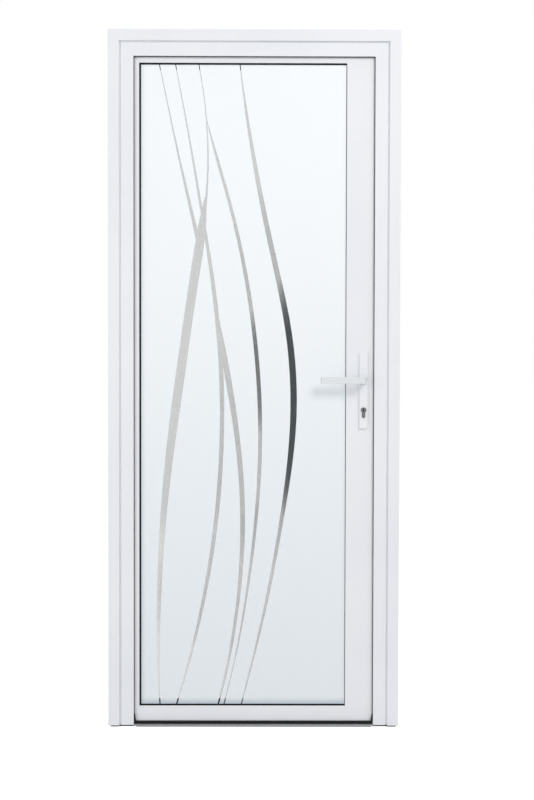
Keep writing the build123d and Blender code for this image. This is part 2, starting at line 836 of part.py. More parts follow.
def build():
    """All the door's pieces by node name."""
    lock = make_lock()
    pieces = {}
    pieces.update(make_frame())
    pieces["stop_seals"] = make_stop_seals()
    pieces.update(make_threshold())
    pieces.update(make_leaf_profiles(lock))
    pieces.update(lock)
    pieces.update(make_glazing())
    pieces.update(make_handles())
    pieces.update(make_hinges())
    return pieces


os.makedirs("parts", exist_ok=True)
for node, shape in build().items():
    export_step(shape, f"parts/{node}.step")
    print(node, round(shape.volume))
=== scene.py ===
"""Looks of an inward-opening aluminium front door, dressed around its solid model."""

import logging
import math
from dataclasses import dataclass
from enum import Enum
from typing import Sequence

import bmesh
import bpy
from mathutils import Matrix, Vector


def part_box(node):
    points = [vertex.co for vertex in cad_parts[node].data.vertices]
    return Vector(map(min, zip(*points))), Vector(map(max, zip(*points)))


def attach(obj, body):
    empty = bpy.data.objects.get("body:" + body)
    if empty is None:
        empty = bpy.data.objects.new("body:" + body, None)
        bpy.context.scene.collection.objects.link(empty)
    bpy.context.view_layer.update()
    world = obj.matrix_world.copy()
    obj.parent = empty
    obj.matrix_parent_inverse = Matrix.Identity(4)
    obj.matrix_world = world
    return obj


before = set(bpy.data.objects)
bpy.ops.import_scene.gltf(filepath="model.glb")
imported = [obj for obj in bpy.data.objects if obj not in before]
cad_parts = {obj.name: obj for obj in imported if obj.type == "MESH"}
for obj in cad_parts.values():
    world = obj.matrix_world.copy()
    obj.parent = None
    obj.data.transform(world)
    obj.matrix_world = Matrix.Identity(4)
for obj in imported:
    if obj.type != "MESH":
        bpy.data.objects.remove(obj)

LOG = logging.getLogger("door")
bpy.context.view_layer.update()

WHITE = (1.0, 1.0, 1.0, 1.0)
GLASS_IOR = 1.52


class Body(Enum):
    """Rigid bodies that the pieces ride on."""

    FRAME = "frame"
    LEAF = "leaf"
    HANDLE = "handle"


class Way(Enum):
    """Directions that a small fitting can face."""

    OUTSIDE = (0.0, -1.0, 0.0)
    INSIDE = (0.0, 1.0, 0.0)
    LOCK_SIDE = (1.0, 0.0, 0.0)
    HINGE_SIDE = (-1.0, 0.0, 0.0)
    UP = (0.0, 0.0, 1.0)
    DOWN = (0.0, 0.0, -1.0)


class Graph:
    """Nodes of one material, with its shader at hand."""

    def __init__(self, name: str) -> None:
        """Start a material with its principled shader.

        Args:
            name: Name of the new material.
        """
        self.material = bpy.data.materials.new(name)
        self.material.use_nodes = True
        self.tree = self.material.node_tree
        self.shader = self.tree.nodes["Principled BSDF"]

    def set(self, **values: object) -> None:
        """Set the shader's own sockets.

        Args:
            values: Socket names with underscores for spaces, and their values.
        """
        for key, value in values.items():
            self.shader.inputs[key.replace("_", " ")].default_value = value

    def add(self, kind: str, **settings: object) -> bpy.types.Node:
        """Add a node and set its properties or unlinked inputs.

        Args:
            kind: Type name of the node.
            settings: Property names, or input names with underscores for spaces.

        Returns:
            The new node.
        """
        node = self.tree.nodes.new(kind)
        for key, value in settings.items():
            if hasattr(node, key):
                setattr(node, key, value)
            else:
                node.inputs[key.replace("_", " ")].default_value = value
        return node

    def link(self, source: bpy.types.NodeSocket, target: bpy.types.NodeSocket) -> None:
        """Join an output to an input."""
        self.tree.links.new(source, target)

    def place(self) -> bpy.types.NodeSocket:
        """Object coordinates of the shaded point."""
        return self.add("ShaderNodeTexCoord").outputs["Object"]

    def split_place(self) -> bpy.types.Node:
        """Node that gives the shaded point's object coordinates one by one.

        Returns:
            The node, with an output for each axis.
        """
        split = self.add("ShaderNodeSeparateXYZ")
        self.link(self.place(), split.inputs["Vector"])
        return split

    def noise(self, scale: float, detail: float, stretch: Vector | None = None) -> bpy.types.NodeSocket:
        """Noise over the object's own coordinates.

        Args:
            scale: Cells for each metre.
            detail: Octaves of finer noise.
            stretch: Scale along each axis, for grain that runs one way.

        Returns:
            The noise value.
        """
        source = self.place()
        if stretch is not None:
            mapping = self.add("ShaderNodeMapping")
            mapping.inputs["Scale"].default_value = stretch
            self.link(source, mapping.inputs["Vector"])
            source = mapping.outputs["Vector"]
        texture = self.add("ShaderNodeTexNoise", Scale=scale, Detail=detail)
        self.link(source, texture.inputs["Vector"])
        return texture.outputs["Fac"]

    def ranged(
        self, value: bpy.types.NodeSocket, low: float, high: float, start: float = 0.3, end: float = 0.7
    ) -> bpy.types.NodeSocket:
        """Map a value from one range to another, kept within it.

        Args:
            value: Value to map.
            low: Result at the start.
            high: Result at the end.
            start: Value that gives the low result.
            end: Value that gives the high result.

        Returns:
            The mapped value.
        """
        node = self.add("ShaderNodeMapRange", interpolation_type="SMOOTHSTEP")
        self.link(value, node.inputs["Value"])
        node.inputs["From Min"].default_value = start
        node.inputs["From Max"].default_value = end
        node.inputs["To Min"].default_value = low
        node.inputs["To Max"].default_value = high
        return node.outputs["Result"]

    def math(
        self, operation: str, first: bpy.types.NodeSocket, second: bpy.types.NodeSocket | float
    ) -> bpy.types.NodeSocket:
        """Combine two values.

        Args:
            operation: Name of the operation.
            first: First value.
            second: Second value or a number.

        Returns:
            The result.
        """
        node = self.add("ShaderNodeMath", operation=operation)
        self.link(first, node.inputs[0])
        if isinstance(second, (int, float)):
            node.inputs[1].default_value = second
        else:
            self.link(second, node.inputs[1])
        return node.outputs[0]

    def blended(self, amount: bpy.types.NodeSocket, first: Sequence[float], second: Sequence[float]) -> None:
        """Colour the shader between two colours by an amount that varies.

        Args:
            amount: From 0 for the first colour to 1 for the second.
            first: First colour.
            second: Second colour.
        """
        ramp = self.add("ShaderNodeValToRGB")
        ramp.color_ramp.elements[0].color = (*first, 1.0)
        ramp.color_ramp.elements[1].color = (*second, 1.0)
        self.link(amount, ramp.inputs["Fac"])
        self.link(ramp.outputs["Color"], self.shader.inputs["Base Color"])

    def grained(self, grain: bpy.types.NodeSocket, roughness: Sequence[float], depth: float) -> None:
        """Vary the shader's roughness with a grain, and raise its surface by it.

        Args:
            grain: Grain value.
            roughness: Least and greatest roughness.
            depth: Depth of the grain in metres.
        """
        self.link(self.ranged(grain, *roughness), self.shader.inputs["Roughness"])
        bump = self.add("ShaderNodeBump", Strength=1.0, Distance=depth)
        self.link(grain, bump.inputs["Height"])
        self.link(bump.outputs["Normal"], self.shader.inputs["Normal"])


@dataclass(frozen=True)
class PowderCoat:
    """Satin powder coat: a pale coat with fine orange peel and slight unevenness."""

    name: str = "white_powder_coat"
    light: tuple[float, float, float] = (0.835, 0.850, 0.885)
    dark: tuple[float, float, float] = (0.805, 0.822, 0.86)
    cloud_scale: float = 3.0
    cloud_detail: float = 3.0
    peel_scale: float = 650.0
    peel_detail: float = 2.0
    peel_depth: float = 0.00004
    roughness: tuple[float, float] = (0.36, 0.44)

    def build(self) -> bpy.types.Material:
        """Make the material.

        Returns:
            The coat.
        """
        graph = Graph(self.name)
        cloud = graph.noise(self.cloud_scale, self.cloud_detail)
        graph.blended(graph.ranged(cloud, 0.0, 1.0), self.dark, self.light)
        graph.grained(graph.noise(self.peel_scale, self.peel_detail), self.roughness, self.peel_depth)
        return graph.material


@dataclass(frozen=True)
class Rubber:
    """Black weather-seal rubber or plain black plastic, matte with a fine grain."""

    name: str = "black_seal_rubber"
    light: tuple[float, float, float] = (0.006, 0.006, 0.0065)
    dark: tuple[float, float, float] = (0.002, 0.002, 0.0022)
    gloss: float = 0.2
    grain_scale: float = 900.0
    grain_detail: float = 4.0
    grain_depth: float = 0.00005
    roughness: tuple[float, float] = (0.55, 0.72)

    def build(self) -> bpy.types.Material:
        """Make the material.

        Returns:
            The rubber.
        """
        graph = Graph(self.name)
        graph.set(Specular_IOR_Level=self.gloss)
        grain = graph.noise(self.grain_scale, self.grain_detail)
        graph.blended(graph.ranged(grain, 0.0, 1.0), self.dark, self.light)
        graph.grained(grain, self.roughness, self.grain_depth)
        return graph.material


@dataclass(frozen=True)
class BrushedMetal:
    """Bare metal with drawn or brushed lines along one axis."""

    name: str = "brushed_steel"
    light: tuple[float, float, float] = (0.66, 0.66, 0.65)
    dark: tuple[float, float, float] = (0.52, 0.52, 0.52)
    grain: tuple[float, float, float] = (1.0, 1.0, 0.02)
    grain_scale: float = 1800.0
    grain_detail: float = 3.0
    grain_depth: float = 0.00002
    roughness: tuple[float, float] = (0.26, 0.40)

    def build(self) -> bpy.types.Material:
        """Make the material.

        Returns:
            The metal.
        """
        graph = Graph(self.name)
        graph.set(Metallic=1.0)
        lines = graph.noise(self.grain_scale, self.grain_detail, Vector(self.grain))
        graph.blended(graph.ranged(lines, 0.0, 1.0), self.dark, self.light)
        graph.grained(lines, self.roughness, self.grain_depth)
        return graph.material


@dataclass(frozen=True)
class EtchedSheet:
    """Satin etched sheet with painted shade: darker towards its foot, and along its left and bottom edges,
    where it paints the frame's shadow and the beads that show through.

    Each shade gives its darkness at the start and at the end, and the places of both in metres.
    """

    name: str = "frosted_etch"
    light: tuple[float, float, float] = (0.905, 0.94, 0.965)
    dark: tuple[float, float, float] = (0.56, 0.615, 0.68)
    # Painted shade: darker towards the foot, and along the left and bottom edges.
    height_shade: tuple[float, float, float, float] = (0.31, 0.0, 0.1, 1.9)
    left_shade: tuple[float, float, float, float] = (0.35, 0.0, -0.3495, -0.3330)
    foot_shade: tuple[float, float, float, float] = (0.75, 0.0, 0.0665, 0.0890)
    grain_scale: float = 1400.0
    grain_detail: float = 3.0
    grain_depth: float = 0.000012
    roughness: tuple[float, float] = (0.42, 0.52)

    def build(self) -> bpy.types.Material:
        """Make the material.

        Returns:
            The etched glass.
        """
        graph = Graph(self.name)
        split = graph.split_place()
        shade = graph.ranged(split.outputs["Z"], *self.height_shade)
        for axis, span in (("X", self.left_shade), ("Z", self.foot_shade)):
            shade = graph.math("ADD", shade, graph.ranged(split.outputs[axis], *span))
        # The painted shade is laid into the sheet's own colour.
        graph.blended(shade, self.light, self.dark)
        grain = graph.noise(self.grain_scale, self.grain_detail)
        graph.grained(grain, self.roughness, self.grain_depth)
        return graph.material


@dataclass(frozen=True)
class ClearPane:
    """Clear pane, faintly green, with the slight sheen of a coated face."""

    name: str = "clear_pane"
    colour: tuple[float, float, float, float] = (0.36, 0.50, 0.47, 1.0)
    alpha: tuple[float, float] = (0.030, 0.045)
    roughness: float = 0.03
    cloud_scale: float = 1.5
    cloud_detail: float = 2.0

    def build(self) -> bpy.types.Material:
        """Make the material.

        Returns:
            The clear glass.
        """
        graph = Graph(self.name)
        graph.set(Base_Color=self.colour, Roughness=self.roughness, IOR=GLASS_IOR)
        cloud = graph.noise(self.cloud_scale, self.cloud_detail)
        graph.link(graph.ranged(cloud, *self.alpha), graph.shader.inputs["Alpha"])
        return graph.material


@dataclass(frozen=True)
class PaintedDimPatch:
    """Oval part of the stripes painted dark, as painted shade standing in for a dim room seen through the
    glass.

    Middle and reach are across and up in metres. The shade fades between two squared
    distances, counted in reaches.
    """

    middle: tuple[float, float]
    reach: tuple[float, float]
    darkness: float
    fade: tuple[float, float]


@dataclass(frozen=True)
class StripeGlass:
    """Clear stripes of the etched face: pale at the ends, with painted shade in ovals where a dim room would
    be seen through them.
    """

    name: str = "stripe_glass"
    # Dark colour that the alpha lays over the stripes as painted shade.
    colour: tuple[float, float, float, float] = (0.028, 0.040, 0.048, 1.0)
    thin: float = 0.181
    roughness: float = 0.04
    places: tuple[PaintedDimPatch, ...] = (
        PaintedDimPatch(middle=(0.208, 1.025), reach=(0.160, 0.412), darkness=0.890, fade=(0.45, 1.80)),
        PaintedDimPatch(middle=(0.020, 1.105), reach=(0.055, 0.139), darkness=0.600, fade=(0.0, 3.0)),
        PaintedDimPatch(middle=(0.15, 1.35), reach=(0.25, 0.32), darkness=0.290, fade=(0.0, 1.6)),
        PaintedDimPatch(middle=(0.07, 0.60), reach=(0.35, 0.60), darkness=0.285, fade=(0.2, 1.6)),
        PaintedDimPatch(middle=(0.04, 0.59), reach=(0.11, 0.12), darkness=0.370, fade=(0.3, 1.8)),
        PaintedDimPatch(middle=(0.02, 0.42), reach=(0.30, 0.20), darkness=0.330, fade=(0.6, 1.8)),
    )

    def build(self) -> bpy.types.Material:
        """Make the material.

        Returns:
            The stripes' glass.
        """
        graph = Graph(self.name)
        graph.set(Base_Color=self.colour, Roughness=self.roughness, IOR=GLASS_IOR)
        split = graph.split_place()
        depths = [self.depth(graph, split, place) for place in self.places]
        alpha = depths[0]
        for depth in depths[1:]:
            alpha = graph.math("MAXIMUM", alpha, depth)
        graph.link(alpha, graph.shader.inputs["Alpha"])
        return graph.material

    def depth(self, graph: Graph, split: bpy.types.Node, place: PaintedDimPatch) -> bpy.types.NodeSocket:
        """Painted darkness of one oval patch on the glass.

        Args:
            graph: Nodes of the material.
            split: Node that gives the point's coordinates one by one.
            place: The painted dim oval.

        Returns:
            Opacity from the glass's own to the place's.
        """
        squares = []
        for axis, centre, span in zip(("X", "Z"), place.middle, place.reach):
            offset = graph.math("SUBTRACT", split.outputs[axis], centre)
            scaled = graph.math("DIVIDE", offset, span)
            squares.append(graph.math("MULTIPLY", scaled, scaled))
        distance = graph.math("ADD", squares[0], squares[1])
        return graph.ranged(distance, place.darkness, self.thin, *place.fade)


@dataclass(frozen=True)
class Finishes:
    """All finishes of the door, made once."""

    coat: bpy.types.Material
    rubber: bpy.types.Material
    plastic: bpy.types.Material
    anodised: bpy.types.Material
    steel: bpy.types.Material
    nickel: bpy.types.Material
    lever: bpy.types.Material
    etched: bpy.types.Material
    clear: bpy.types.Material
    stripes: bpy.types.Material
    nylon: bpy.types.Material

    @classmethod
    def make(cls) -> "Finishes":
        """Build every finish.

        Returns:
            The door's finishes.
        """
        return cls(
            coat=PowderCoat().build(),
            rubber=Rubber().build(),
            plastic=Rubber(
                name="black_core_plastic", light=(0.018, 0.018, 0.02), roughness=(0.4, 0.55)
            ).build(),
            anodised=BrushedMetal(
                name="anodised_sill", light=(0.46, 0.46, 0.47), dark=(0.36, 0.36, 0.37),
                grain=(0.02, 1.0, 1.0), roughness=(0.42, 0.55)
            ).build(),
            steel=BrushedMetal().build(),
            # Dark base colour: painted dark reflection on the cylinder's metal.
            nickel=BrushedMetal(
                name="nickel_painted_dark_reflection", light=(0.22, 0.22, 0.22), dark=(0.13, 0.13, 0.135),
                grain=(1.0, 0.02, 1.0)
            ).build(),
            # A darker copy of the white coat: painted shade on the levers' faces.
            lever=PowderCoat(
                name="lever_coat_painted_shade", light=(0.76, 0.785, 0.81), dark=(0.735, 0.76, 0.785),
                roughness=(0.30, 0.38)
            ).build(),
            etched=EtchedSheet().build(),
            clear=ClearPane().build(),
            stripes=StripeGlass().build(),
            nylon=PowderCoat(
                name="white_nylon", light=(0.80, 0.80, 0.79), dark=(0.76, 0.76, 0.75),
                roughness=(0.45, 0.55)
            ).build(),
        )


@dataclass(frozen=True)
class SoftEdge:
    """How a solid node's sharp edges are rounded."""

    weld_reach: float = 1e-6
    segments: int = 2
    sharp_degrees: float = 35.0

    def apply(self, node: bpy.types.Object, ease: float) -> None:
        """Round the node's edges with modifiers.

        Args:
            node: The solid node.
            ease: Radius of the rounding in metres.
        """
        weld = node.modifiers.new("join_corners", "WELD")
        weld.merge_threshold = self.weld_reach
        bevel = node.modifiers.new("soft_edges", "BEVEL")
        bevel.width = ease
        bevel.segments = self.segments
        bevel.limit_method = "ANGLE"
        bevel.angle_limit = math.radians(self.sharp_degrees)
        bevel.harden_normals = True


def dress_node(name: str, material: bpy.types.Material, ease: float = 0.0) -> None:
    """Give a solid node its finish, and soften its sharp edges.

    Args:
        name: Name of the node.
        material: Its finish.
        ease: Radius of the softened edges in metres, or 0 for none.
    """
    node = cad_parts[name]
    for slot in node.material_slots:
        slot.material = material
    if ease > 0.0:
        SoftEdge().apply(node, ease)
    LOG.info("dressed %s in %s", name, material.name)


def finish_piece(
    shape: bmesh.types.BMesh, name: str, material: bpy.types.Material, body: Body
) -> bpy.types.Object:
    """Turn a finished shape into a piece that rides on a body.

    Args:
        shape: The shape, in place and in metres.
        name: Name of the piece.
        material: Its finish.
        body: Body that it rides on.

    Returns:
        The new object.
    """
    bmesh.ops.recalc_face_normals(shape, faces=shape.faces)
    mesh = bpy.data.meshes.new(name)
    shape.to_mesh(mesh)
    shape.free()
    for polygon in mesh.polygons:
        polygon.use_smooth = False
    mesh.materials.append(material)
    piece = bpy.data.objects.new(name, mesh)
    bpy.context.scene.collection.objects.link(piece)
    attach(piece, body.value)
    LOG.info("made %s with %d faces", name, len(mesh.polygons))
    return piece


def facing(way: Way, place: Sequence[float]) -> Matrix:
    """Matrix that turns a shape's up axis to a direction and moves it to a place."""
    turn = Vector(way.value).to_track_quat("Z", "Y").to_matrix().to_4x4()
    return Matrix.Translation(Vector(place)) @ turn


def edges_at(verts: Sequence[bmesh.types.BMVert]) -> list[bmesh.types.BMEdge]:
    """Edges that meet some corners, each once and in the corners' order."""
    return list(dict.fromkeys(edge for vert in verts for edge in vert.link_edges))


def add_circle(
    shape: bmesh.types.BMesh, where: Matrix, radius: float, level: float, sides: int
) -> list[bmesh.types.BMVert]:
    """Add an open circle across an axis.

    Args:
        shape: Shape to add to.
        where: Place and direction of the axis.
        radius: Radius of the circle.
        level: Height along the axis.
        sides: Number of its sides.

    Returns:
        The circle's corners.
    """
    lifted = where @ Matrix.Translation((0.0, 0.0, level))
    return bmesh.ops.create_circle(shape, segments=sides, radius=radius, matrix=lifted)["verts"]


def bridge_circles(shape: bmesh.types.BMesh, circles: Sequence[list[bmesh.types.BMVert]]) -> None:
    """Close the surface between each circle and the next.

    Args:
        shape: Shape that holds the circles.
        circles: Corners of each circle, in order.
    """
    for first, second in zip(circles, circles[1:]):
        edges = edges_at(first + second)
        rims = [edge for edge in edges if all(vert in first for vert in edge.verts)]
        rims += [edge for edge in edges if all(vert in second for vert in edge.verts)]
        bmesh.ops.bridge_loops(shape, edges=rims)


def add_turned(
    shape: bmesh.types.BMesh, where: Matrix, sections: Sequence[tuple[float, float]], sides: int
) -> None:
    """Add a turned body of stacked round sections, closed at both ends.

    Args:
        shape: Shape to add to.
        where: Place and direction of the turned axis.
        sections: Radius of each section and its height along the axis.
        sides: Number of sides of each section.
    """
    circles = [add_circle(shape, where, radius, level, sides) for radius, level in sections]
    bridge_circles(shape, circles)
    for circle in (circles[0], circles[-1]):
        bmesh.ops.contextual_create(shape, geom=circle)


def add_block(shape: bmesh.types.BMesh, low: Sequence[float], high: Sequence[float], ease: float) -> None:
    """Add a block between two corners, with softened edges.

    Args:
        shape: Shape to add to.
        low: Lowest corner.
        high: Highest corner.
        ease: Width of the softened edges, or 0 for none.
    """
    centre = [(a + b) / 2 for a, b in zip(low, high)]
    size = [b - a for a, b in zip(low, high)]
    where = Matrix.Translation(Vector(centre)) @ Matrix.Diagonal((*size, 1.0))
    made = bmesh.ops.create_cube(shape, size=1.0, matrix=where)
    if ease > 0.0:
        bmesh.ops.bevel(
            shape, geom=edges_at(made["verts"]), offset=ease, affect="EDGES", segments=2, profile=0.5,
            material=-1
        )


@dataclass(frozen=True)
class ScrewHead:
    """Countersunk screw head with a hexagonal socket."""

    radius: float
    rise: float = 0.0003
    depth: float = 0.0012
    brim_share: float = 0.92
    socket_share: float = 0.5
    sides: int = 24
    socket_sides: int = 6

    def add(self, shape: bmesh.types.BMesh, way: Way, place: Sequence[float]) -> None:
        """Add the head to a shape.

        Args:
            shape: Shape to add to.
            way: Direction that the head faces.
            place: Middle of the surface that it sits in.
        """
        where = facing(way, place)
        socket = self.radius * self.socket_share
        rim = add_circle(shape, where, self.radius, -self.rise, self.sides)
        brim = add_circle(shape, where, self.radius * self.brim_share, self.rise, self.sides)
        mouth = add_circle(shape, where, socket, self.rise, self.socket_sides)
        floor = add_circle(shape, where, socket, self.rise - self.depth, self.socket_sides)
        bridge_circles(shape, (rim, brim, mouth, floor))
        for end in (floor, rim):
            bmesh.ops.contextual_create(shape, geom=end)


@dataclass(frozen=True)
class RoundedStrip:
    """Strip with rounded shoulders that runs round a rectangle."""

    width: float
    rise: float
    shoulder_share: float = 0.8
    shoulder_segments: int = 3
    sharp_angle: float = 0.5

    def add(self, shape: bmesh.types.BMesh, where: Matrix, across: float, up: float) -> None:
        """Add the strip to an empty shape.

        Args:
            shape: Shape to add to.
            where: Place of the rectangle's middle, and the direction that the strip rises in.
            across: Outer size of the rectangle, across.
            up: Outer size of the rectangle, up.
        """
        grid = bmesh.ops.create_grid(shape, x_segments=1, y_segments=1, size=0.5)
        bmesh.ops.scale(shape, vec=(across, up, 1.0), verts=grid["verts"])
        bmesh.ops.transform(shape, matrix=where, verts=grid["verts"])
        face = grid["verts"][0].link_faces[0]
        inset = bmesh.ops.inset_region(shape, faces=[face], use_boundary=True, thickness=self.width)
        bmesh.ops.delete(shape, geom=[face], context="FACES_ONLY")
        raised = bmesh.ops.extrude_face_region(shape, geom=inset["faces"])["geom"]
        verts = [item for item in raised if isinstance(item, bmesh.types.BMVert)]
        normal = where.to_3x3() @ Vector((0.0, 0.0, 1.0))
        bmesh.ops.translate(shape, vec=normal * self.rise, verts=verts)
        shoulders = [
            edge for edge in shape.edges
            if all(vert in verts for vert in edge.verts) and len(edge.link_faces) == 2
            and edge.calc_face_angle(0.0) > self.sharp_angle
        ]
        bmesh.ops.bevel(
            shape, geom=shoulders, offset=self.rise * self.shoulder_share, affect="EDGES",
            segments=self.shoulder_segments, profile=0.5, material=-1
        )


@dataclass
class Studio:
    """Floor, light and camera around the door."""

    camera_place: tuple[float, float, float] = (0.0186, -4.038, 1.122)
    camera_yaw: float = -0.3103
    camera_pitch: float = -1.5321
    camera_roll: float = -0.1224
    lens: float = 58.3725
    sensor: float = 36.0
    key_place: tuple[float, float, float] = (2.1, -3.9, 3.7)
    key_size: float = 1.7
    key_power: float = 78.0
    fill_place: tuple[float, float, float] = (-2.9, -4.0, 1.1)
    fill_size: float = 3.0
    fill_power: float = 60.0
    back_place: tuple[float, float, float] = (1.6, 4.2, 3.0)
    back_size: float = 2.6
    back_power: float = 60.0
    lamp_aim: tuple[float, float, float] = (0.1, 0.0, 1.1)
    world_level: float = 0.56
    seen_level: float = 1.0
    floor_side: float = 60.0
    floor_colour: tuple[float, float, float, float] = (0.75, 0.75, 0.75, 1.0)
    floor_roughness: float = 0.9
    floor_gloss: float = 0.1
    floor_glow: float = 0.58

    def build(self) -> None:
        """Make the floor, the world, the lamps and the camera."""
        self.make_world()
        self.make_floor()
        self.make_lamp("key_light", self.key_place, self.key_size, self.key_power)
        self.make_lamp("fill_light", self.fill_place, self.fill_size, self.fill_power)
        self.make_lamp("back_light", self.back_place, self.back_size, self.back_power)
        self.make_camera()
        bpy.context.scene.view_settings.view_transform = "Standard"

    def seen(self, tree: bpy.types.NodeTree) -> bpy.types.NodeSocket:
        """Find out whether a ray comes from the camera, a gloss or a transmission.

        Args:
            tree: Node tree to add to.

        Returns:
            Value of 1 for such rays, and 0 for others.
        """
        rays = tree.nodes.new("ShaderNodeLightPath")
        found = rays.outputs["Is Camera Ray"]
        for kind in ("Is Glossy Ray", "Is Transmission Ray"):
            either = tree.nodes.new("ShaderNodeMath")
            either.operation = "MAXIMUM"
            tree.links.new(found, either.inputs[0])
            tree.links.new(rays.outputs[kind], either.inputs[1])
            found = either.outputs[0]
        return found

    def make_world(self) -> None:
        """Even world light, plain white where it is seen."""
        world = bpy.data.worlds.new("studio_world")
        bpy.context.scene.world = world
        world.use_nodes = True
        tree = world.node_tree
        tree.nodes.clear()
        output = tree.nodes.new("ShaderNodeOutputWorld")
        mix = tree.nodes.new("ShaderNodeMixShader")
        tree.links.new(self.seen(tree), mix.inputs["Fac"])
        for number, level in enumerate((self.world_level, self.seen_level), start=1):
            light = tree.nodes.new("ShaderNodeBackground")
            light.inputs["Color"].default_value = WHITE
            light.inputs["Strength"].default_value = level
            tree.links.new(light.outputs[0], mix.inputs[number])
        tree.links.new(mix.outputs[0], output.inputs["Surface"])

    def make_floor(self) -> None:
        """Large pale floor that stays nearly white around the door."""
        shape = bmesh.new()
        bmesh.ops.create_grid(shape, x_segments=1, y_segments=1, size=self.floor_side / 2)
        mesh = bpy.data.meshes.new("studio_floor")
        shape.to_mesh(mesh)
        shape.free()
        floor = bpy.data.objects.new("studio_floor", mesh)
        bpy.context.scene.collection.objects.link(floor)
        graph = Graph("studio_floor")
        graph.set(
            Base_Color=self.floor_colour, Roughness=self.floor_roughness,
            Specular_IOR_Level=self.floor_gloss, Emission_Color=WHITE
        )
        glow = graph.math("MULTIPLY", self.seen(graph.tree), self.floor_glow)
        graph.link(glow, graph.shader.inputs["Emission Strength"])
        mesh.materials.append(graph.material)

    def make_lamp(self, name: str, place: Sequence[float], size: float, power: float) -> None:
        """Soft square lamp that points at the door.

        Args:
            name: Name of the lamp.
            place: Its place.
            size: Side of the square.
            power: Power in watts.
        """
        data = bpy.data.lights.new(name, "AREA")
        data.shape = "SQUARE"
        data.size = size
        data.energy = power
        lamp = bpy.data.objects.new(name, data)
        lamp.location = place
        aim = Vector(self.lamp_aim) - Vector(place)
        lamp.rotation_euler = aim.to_track_quat("-Z", "Y").to_euler()
        bpy.context.scene.collection.objects.link(lamp)

    def make_camera(self) -> None:
        """Camera at the viewing angle of the reference."""
        data = bpy.data.cameras.new("camera")
        data.lens = self.lens
        data.sensor_width = self.sensor
        camera = bpy.data.objects.new("camera", data)
        camera.location = self.camera_place
        yaw = Matrix.Rotation(math.radians(self.camera_yaw), 3, "Z")
        pitch = Matrix.Rotation(math.radians(90.0 + self.camera_pitch), 3, "X")
        roll = Matrix.Rotation(math.radians(-self.camera_roll), 3, "Z")
        camera.rotation_euler = (yaw @ pitch @ roll).to_euler()
        bpy.context.scene.collection.objects.link(camera)
        bpy.context.scene.camera = camera


@dataclass
class FrameLook:
    """The fixed frame: jambs, head, trims, seals, sill and pads."""

    profile_ease: float = 0.0005
    rib_count: int = 5
    rib_spacing: float = 0.005
    rib_width: float = 0.002
    rib_rise: float = 0.0007
    rib_start: float = 0.0105
    rib_end_gap: float = 0.004
    dark_bead_reach: tuple[float, float] = (0.0008, 0.0048)
    dark_bead_top: float = 0.0029
    dark_bead_ease: float = 0.0004
    profiles: tuple[str, ...] = (
        "hinge_jamb", "lock_jamb", "head", "hinge_jamb_trim", "lock_jamb_trim", "head_trim",
    )
    seals: tuple[str, ...] = ("stop_seals", "threshold_seal", "corner_seals")
    plastics: tuple[str, ...] = ("frame_cores", "foot_pads", "threshold_insert")

    def build(self, finishes: Finishes) -> None:
        """Dress the frame's nodes, and add the sill's ribs and the dark bead under its nose.

        Args:
            finishes: The door's finishes.
        """
        for name in self.profiles:
            dress_node(name, finishes.coat, self.profile_ease)
        for name in self.seals:
            dress_node(name, finishes.rubber)
        for name in self.plastics:
            dress_node(name, finishes.plastic)
        dress_node("threshold", finishes.anodised, self.profile_ease)
        self.make_ribs(finishes.anodised)
        self.make_nose_dark_bead(finishes.rubber)

    def make_ribs(self, material: bpy.types.Material) -> None:
        """Grip ribs along the inside half of the sill.

        Args:
            material: Finish of the sill.
        """
        low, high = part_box("threshold")
        left = low[0] + self.rib_end_gap
        right = high[0] - self.rib_end_gap
        shape = bmesh.new()
        for number in range(self.rib_count):
            front = self.rib_start + number * self.rib_spacing
            add_block(
                shape,
                (left, front, high[2] - self.rib_rise),
                (right, front + self.rib_width, high[2] + self.rib_rise),
                self.rib_rise / 2,
            )
        finish_piece(shape, "sill_grip_ribs", material, Body.FRAME)

    def make_nose_dark_bead(self, material: bpy.types.Material) -> None:
        """Dark bead that fills the hollow under the sill's nose, so the line there renders dark.

        Args:
            material: Finish of the bead.
        """
        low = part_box("threshold")[0]
        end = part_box("threshold_seal")[1][0]
        front, back = self.dark_bead_reach
        shape = bmesh.new()
        add_block(
            shape,
            (-end, low[1] + front, low[2]),
            (end, low[1] + back, low[2] + self.dark_bead_top),
            self.dark_bead_ease,
        )
        finish_piece(shape, "sill_nose_dark_bead", material, Body.FRAME)


